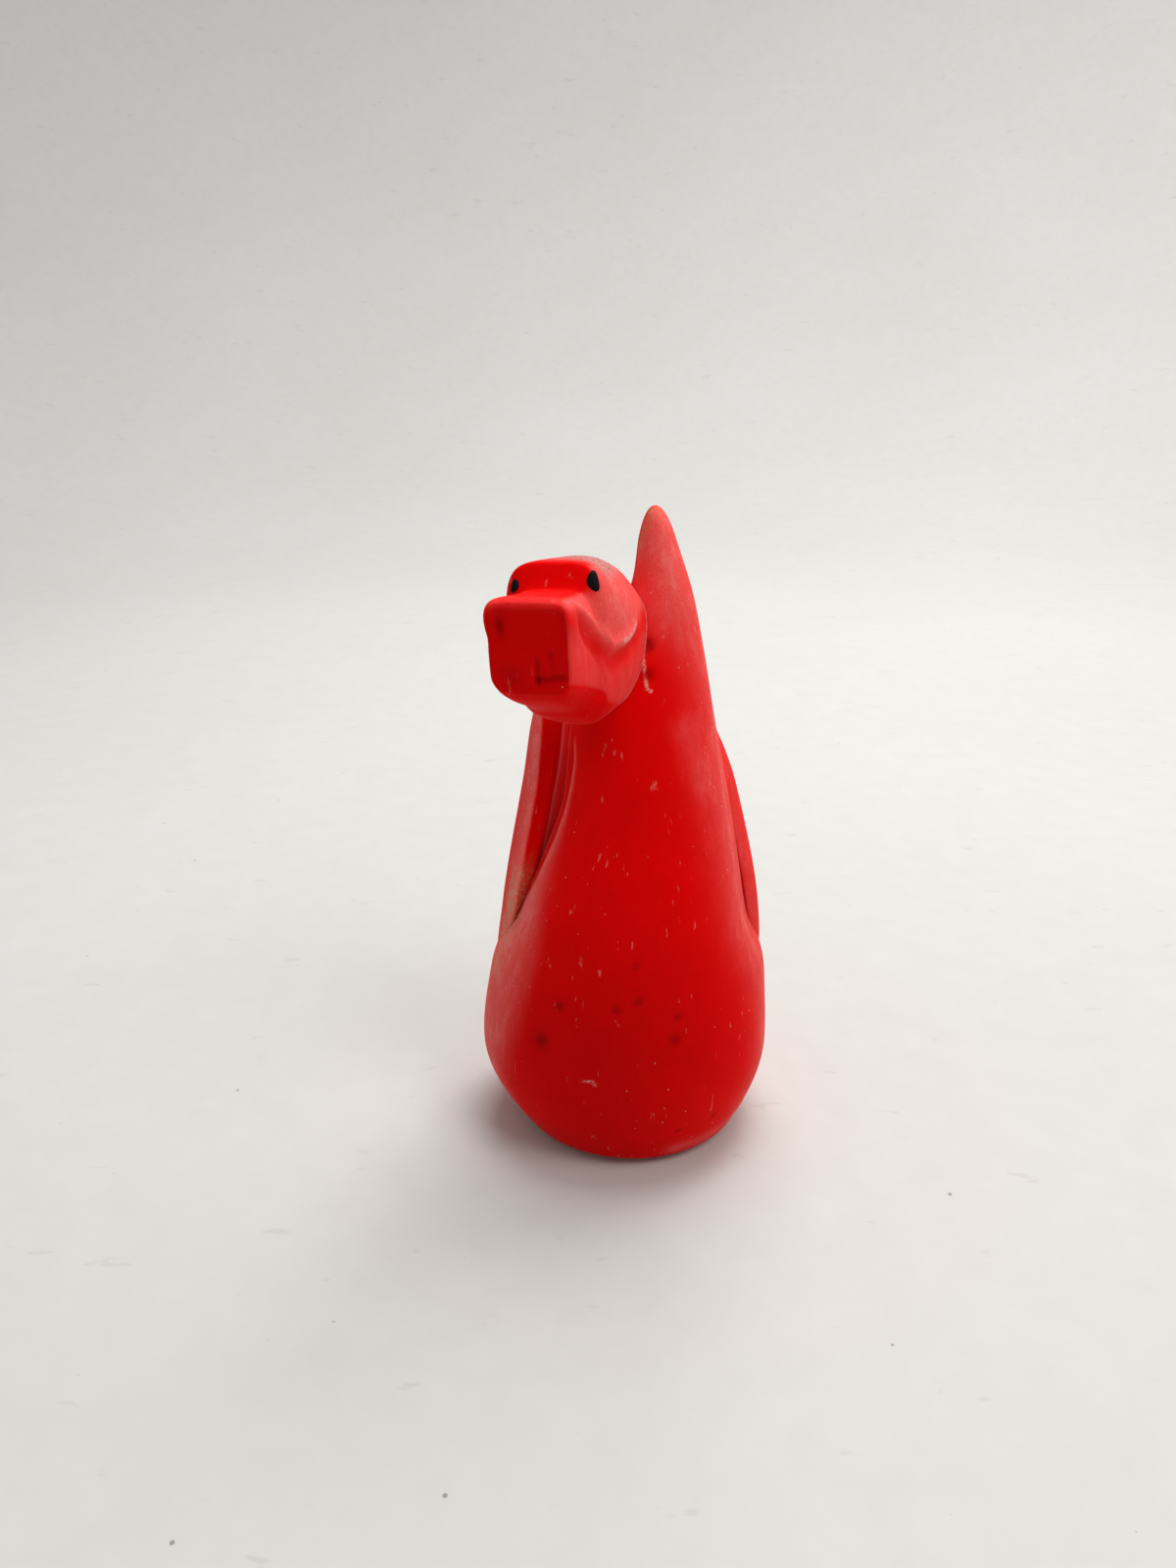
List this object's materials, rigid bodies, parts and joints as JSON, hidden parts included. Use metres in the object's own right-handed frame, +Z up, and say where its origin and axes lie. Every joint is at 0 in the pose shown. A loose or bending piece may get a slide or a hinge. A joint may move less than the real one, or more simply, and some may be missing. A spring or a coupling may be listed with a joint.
{
  "type": "dragon figurine",
  "caption": "Small matte red sitting dragon figurine with folded wings, black eyes, a blocky head and a tall rounded crest, on a flat foot pad.",
  "frame": {"origin": "middle of the underside of the foot, on the surface that the figurine stands on", "axes": "+Z up through the crest; the dragon looks along -Y; +X is the dragon's left side"},
  "size_m": [0.0374, 0.0451, 0.08],
  "materials": {
    "red_skin": "matte moulded rubber, red all through, with a fine grain and a pale bloom at the edges",
    "black_inlay": "black, satin",
    "pad_rubber": "dark matte pad",
    "dowel_steel": "plain drawn pin"
  },
  "bodies": {
    "root": {"body": "red_skin", "head": "red_skin", "wing_left": "red_skin", "wing_right": "red_skin", "eye_left": "black_inlay", "eye_right": "black_inlay", "foot_pad": "pad_rubber", "head_dowel": "dowel_steel"}
  },
  "joints": []
}
